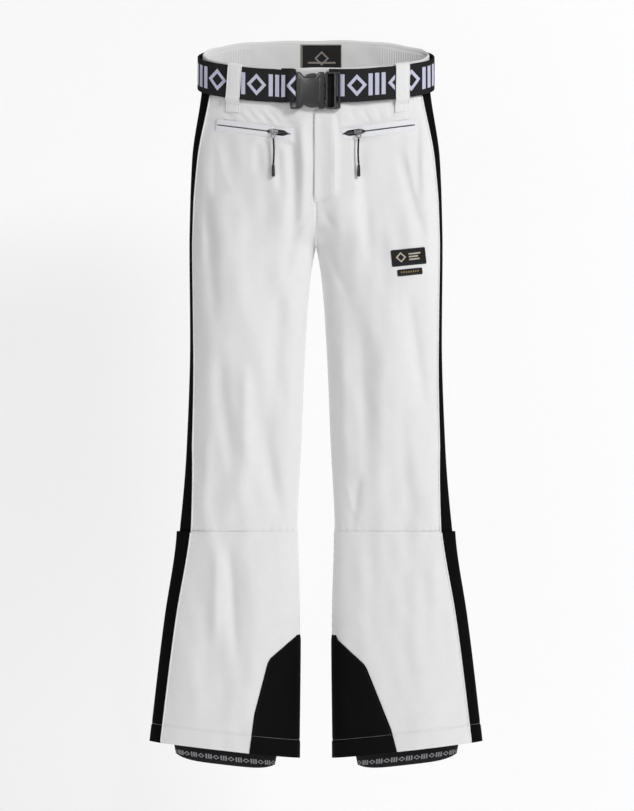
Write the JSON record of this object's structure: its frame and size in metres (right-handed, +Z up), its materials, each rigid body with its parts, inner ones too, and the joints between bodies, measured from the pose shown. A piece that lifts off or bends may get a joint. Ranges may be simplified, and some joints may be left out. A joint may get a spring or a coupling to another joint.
{
  "type": "ski pants",
  "caption": "Flared softshell ski pants with side stripes, webbing belt, zip pockets, fly, scuff guards and inner snow gaiters.",
  "frame": {"origin": "middle of the waist opening at the height of the belt's upper edge in front", "axes": "+Z up through the waist opening, -Y the front of the pants, +X the wearer's left"},
  "size_m": [0.4986, 0.1153, 1.1085],
  "materials": {
    "white_softshell": "matte woven softshell",
    "black_softshell": "matte woven softshell",
    "white_laminate": "smooth laminated, slight sheen",
    "white_piping": "satin reflective piping",
    "black_guard": "dense abrasion-resistant weave",
    "lining": "brushed lining",
    "gaiter_cloth": "thin taffeta",
    "black_elastic": "ribbed elastic band",
    "webbing": "jacquard woven webbing",
    "buckle_plastic": "moulded, satin",
    "zip_tape": "woven tape with coil teeth",
    "dark_metal": "gunmetal",
    "cord": "braided cord",
    "tip_rubber": "moulded rubber",
    "badge": "moulded badge",
    "label": "woven label",
    "snap_metal": "nickel"
  },
  "bodies": {
    "pants": {"left_front_panel": "white_softshell", "left_back_panel": "white_softshell", "left_side_panel": "black_softshell", "left_piping": "white_piping", "left_front_waistband": "white_softshell", "left_pocket_welt": "white_laminate", "left_pocket_zip": "zip_tape", "left_pocket_bag": "lining", "right_front_panel": "white_softshell", "right_back_panel": "white_softshell", "right_side_panel": "black_softshell", "right_piping": "white_piping", "right_front_waistband": "white_softshell", "right_pocket_welt": "white_laminate", "right_pocket_zip": "zip_tape", "right_pocket_bag": "lining", "back_waistband": "white_softshell", "belt_webbing": "webbing", "belt_adjuster_end": "webbing", "belt_loops": "white_softshell", "waist_label": "label", "buckle_socket": "buckle_plastic", "fly_placket": "white_softshell", "fly_shield": "white_softshell", "fly_zip": "zip_tape", "waist_tab": "white_softshell", "snap_caps": "snap_metal", "snap_studs": "snap_metal", "thigh_badge": "badge", "thigh_strip": "badge"},
    "left_lower_leg": {"left_flare_front": "white_softshell", "left_flare_back": "white_softshell", "left_flare_side": "black_softshell", "left_scuff_guard": "black_guard", "left_hem_facing": "lining", "left_flare_piping": "white_piping", "left_gaiter_sleeve": "gaiter_cloth"},
    "left_gaiter_cuff_body": {"left_gaiter_cuff": "black_elastic"},
    "left_slider": {"left_pocket_slider": "dark_metal"},
    "left_pull": {"left_pull_ring": "dark_metal", "left_pull_cord": "cord", "left_pull_tip": "tip_rubber"},
    "right_lower_leg": {"right_flare_front": "white_softshell", "right_flare_back": "white_softshell", "right_flare_side": "black_softshell", "right_scuff_guard": "black_guard", "right_hem_facing": "lining", "right_flare_piping": "white_piping", "right_gaiter_sleeve": "gaiter_cloth"},
    "right_gaiter_cuff_body": {"right_gaiter_cuff": "black_elastic"},
    "right_slider": {"right_pocket_slider": "dark_metal"},
    "right_pull": {"right_pull_ring": "dark_metal", "right_pull_cord": "cord", "right_pull_tip": "tip_rubber"},
    "fly_slider_body": {"fly_slider": "dark_metal", "fly_pull": "dark_metal"},
    "buckle_plug": {"buckle_frame": "buckle_plastic"},
    "upper_prong_body": {"upper_prong": "buckle_plastic"},
    "lower_prong_body": {"lower_prong": "buckle_plastic"}
  },
  "joints": [
    {"name": "left_lower_leg_fold", "type": "hinge", "parent": "pants", "child": "left_lower_leg", "pos_m": [0.117, 0.0323, -0.691], "axis": [1, 0, 0], "range_deg": [0, 60]},
    {"name": "left_gaiter_cuff_slide", "type": "slide", "parent": "left_lower_leg", "child": "left_gaiter_cuff_body", "axis": [0, 0, 1], "range_m": [0, 0.05], "deforming": ["left_gaiter_sleeve"]},
    {"name": "left_pocket_slider_travel", "type": "hinge", "parent": "pants", "child": "left_slider", "pos_m": [0.03167, 0.30334, -0.0855], "axis": [-0.1285, -0.0231, 0.9914], "range_deg": [-2.44, 13.02]},
    {"name": "left_pull_swing", "type": "hinge", "parent": "left_slider", "child": "left_pull", "pos_m": [0.06405, -0.05272, -0.08961], "axis": [-0.996, -0.0898, 0], "range_deg": [0, 90]},
    {"name": "right_lower_leg_fold", "type": "hinge", "parent": "pants", "child": "right_lower_leg", "pos_m": [-0.117, 0.0323, -0.691], "axis": [1, 0, 0], "range_deg": [0, 60]},
    {"name": "right_gaiter_cuff_slide", "type": "slide", "parent": "right_lower_leg", "child": "right_gaiter_cuff_body", "axis": [0, 0, 1], "range_m": [0, 0.05], "deforming": ["right_gaiter_sleeve"]},
    {"name": "right_pocket_slider_travel", "type": "hinge", "parent": "pants", "child": "right_slider", "pos_m": [-0.03167, 0.30334, -0.0855], "axis": [-0.1285, 0.0231, -0.9914], "range_deg": [-2.44, 13.02]},
    {"name": "right_pull_swing", "type": "hinge", "parent": "right_slider", "child": "right_pull", "pos_m": [-0.06405, -0.05272, -0.08961], "axis": [-0.996, 0.0898, 0], "range_deg": [0, 90]},
    {"name": "fly_slider_travel", "type": "slide", "parent": "pants", "child": "fly_slider_body", "axis": [0, 0, -1], "range_m": [0, 0.1]},
    {"name": "buckle_release", "type": "slide", "parent": "pants", "child": "buckle_plug", "axis": [1, 0, 0], "range_m": [0, 0.035], "deforming": ["belt_adjuster_end", "upper_prong", "lower_prong"]},
    {"name": "upper_prong_squeeze", "type": "hinge", "parent": "buckle_plug", "child": "upper_prong_body", "pos_m": [0.0133, -0.05395, -0.0112], "axis": [0, -1, 0], "range_deg": [0, 7.5], "stiffness_Nm_per_rad": 1.5},
    {"name": "lower_prong_squeeze", "type": "hinge", "parent": "buckle_plug", "child": "lower_prong_body", "pos_m": [0.0133, -0.05395, -0.0442], "axis": [0, 1, 0], "range_deg": [0, 7.5], "stiffness_Nm_per_rad": 1.5}
  ]
}
